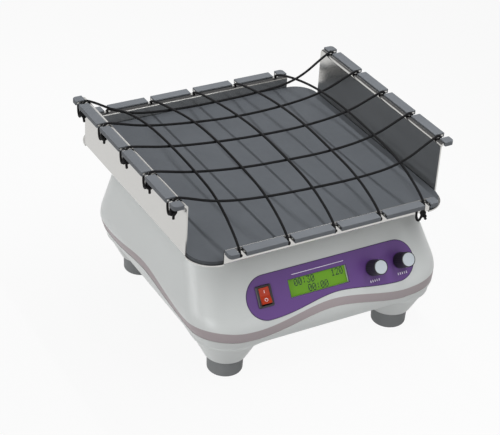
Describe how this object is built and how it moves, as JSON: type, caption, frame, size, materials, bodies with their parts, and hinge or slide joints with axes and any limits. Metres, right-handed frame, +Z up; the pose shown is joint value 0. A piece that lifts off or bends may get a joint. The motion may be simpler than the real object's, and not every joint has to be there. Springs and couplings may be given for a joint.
{
  "type": "orbital shaker",
  "caption": "Bench orbital shaker with a flanged square tray under an elastic net, on parallel cranks above a moulded casing with a sloping control panel.",
  "frame": {"origin": "on the bench, under the middle of the tray where it stands at rest", "axes": "+Z up, -Y towards the control panel, +X to the right seen from the front"},
  "size_m": [0.303, 0.303, 0.2076],
  "materials": {
    "casing": "satin moulded plastic",
    "band": "satin moulded plastic",
    "panel": "satin overlay",
    "display": "back-lit display",
    "circuit_board": "circuit board",
    "black_plastic": "satin",
    "rocker": "translucent, glossy",
    "knob_cap": "satin",
    "foot_rubber": "matt",
    "mat_rubber": "matt, fine texture",
    "trim_rubber": "matt",
    "cord": "woven cover",
    "tray_sheet": "satin",
    "aluminium": "machined",
    "steel": "machined",
    "belt": "matt"
  },
  "bodies": {
    "base": {"feet": "foot_rubber", "foot_screws": "steel", "lower_casing": "casing", "accent_band": "band", "upper_casing": "casing", "casing_screws": "steel", "control_panel": "panel", "display_glass": "display", "display_board": "circuit_board", "switch_frame": "black_plastic", "control_board": "circuit_board", "encoder_bodies": "black_plastic", "encoder_nuts": "steel", "chassis_plate": "steel", "chassis_screws": "steel", "main_bearing_housing": "aluminium", "main_bearings": "steel", "main_housing_screws": "steel", "idler_housings": "aluminium", "idler_bearings": "steel", "idler_housing_screws": "steel", "motor_body": "steel", "motor_screws": "steel", "drive_belt": "belt", "power_supply": "circuit_board", "mains_inlet": "black_plastic", "inlet_screws": "steel"},
    "crank": {"crankshaft": "steel", "driven_pulley": "aluminium", "counterweight": "steel", "counterweight_screws": "steel"},
    "idler_1": {"idler_crank_1": "steel"},
    "idler_2": {"idler_crank_2": "steel"},
    "idler_3": {"idler_crank_3": "steel"},
    "idler_4": {"idler_crank_4": "steel"},
    "motor_rotor": {"motor_shaft": "steel", "motor_pulley": "aluminium"},
    "platform": {"carriage_plate": "aluminium", "carriage_bearings": "steel", "tray": "tray_sheet", "tray_screws": "steel", "mat": "mat_rubber", "trims_left": "trim_rubber", "trims_right": "trim_rubber", "trims_front": "trim_rubber", "trims_rear": "trim_rubber", "net_cords_across": "cord", "net_cords_lengthwise": "cord", "net_knots": "cord"},
    "time_dial": {"time_rotor": "black_plastic"},
    "time_plunger": {"time_shaft": "steel", "time_knob": "black_plastic", "time_cap": "knob_cap"},
    "speed_dial": {"speed_rotor": "black_plastic"},
    "speed_plunger": {"speed_shaft": "steel", "speed_knob": "black_plastic", "speed_cap": "knob_cap"},
    "power_rocker": {"rocker": "rocker"}
  },
  "joints": [
    {"name": "crank_turn", "type": "hinge", "parent": "base", "child": "crank", "pos_m": [0.01072, -0.00644, 0.082], "axis": [0, 0, 1], "continuous": true},
    {"name": "platform_turn", "type": "hinge", "parent": "crank", "child": "platform", "pos_m": [0, 0, 0.1393], "axis": [0, 0, 1], "continuous": true},
    {"name": "idler_1_turn", "type": "hinge", "parent": "base", "child": "idler_1", "pos_m": [-0.05128, -0.05244, 0.085], "axis": [0, 0, 1], "continuous": true},
    {"name": "idler_2_turn", "type": "hinge", "parent": "base", "child": "idler_2", "pos_m": [0.07272, -0.05244, 0.085], "axis": [0, 0, 1], "continuous": true},
    {"name": "idler_3_turn", "type": "hinge", "parent": "base", "child": "idler_3", "pos_m": [-0.05128, 0.03956, 0.085], "axis": [0, 0, 1], "continuous": true},
    {"name": "idler_4_turn", "type": "hinge", "parent": "base", "child": "idler_4", "pos_m": [0.07272, 0.03956, 0.085], "axis": [0, 0, 1], "continuous": true},
    {"name": "motor_turn", "type": "hinge", "parent": "base", "child": "motor_rotor", "pos_m": [0.01072, 0.08156, 0.082], "axis": [0, 0, 1], "continuous": true},
    {"name": "time_turn", "type": "hinge", "parent": "base", "child": "time_dial", "pos_m": [0.06062, -0.12692, 0.09104], "axis": [0, -0.829, 0.5592], "continuous": true},
    {"name": "time_push", "type": "slide", "parent": "time_dial", "child": "time_plunger", "axis": [0, 0.829, -0.5592], "range_m": [0, 0.0005], "stiffness_N_per_m": 2000, "springref_m": -0.0005},
    {"name": "speed_turn", "type": "hinge", "parent": "base", "child": "speed_dial", "pos_m": [0.09262, -0.12692, 0.09104], "axis": [0, -0.829, 0.5592], "continuous": true},
    {"name": "speed_push", "type": "slide", "parent": "speed_dial", "child": "speed_plunger", "axis": [0, 0.829, -0.5592], "range_m": [0, 0.0005], "stiffness_N_per_m": 2000, "springref_m": -0.0005},
    {"name": "rocker_tilt", "type": "hinge", "parent": "base", "child": "power_rocker", "pos_m": [-0.05969, -0.12476, 0.09103], "axis": [1, 0, 0], "range_deg": [0, 14]}
  ],
  "couplings": [
    {"joint": "platform_turn", "follows": "crank_turn", "ratio": -1},
    {"joint": "idler_1_turn", "follows": "crank_turn", "ratio": 1},
    {"joint": "idler_2_turn", "follows": "crank_turn", "ratio": 1},
    {"joint": "idler_3_turn", "follows": "crank_turn", "ratio": 1},
    {"joint": "idler_4_turn", "follows": "crank_turn", "ratio": 1},
    {"joint": "motor_turn", "follows": "crank_turn", "ratio": 4.5821}
  ]
}
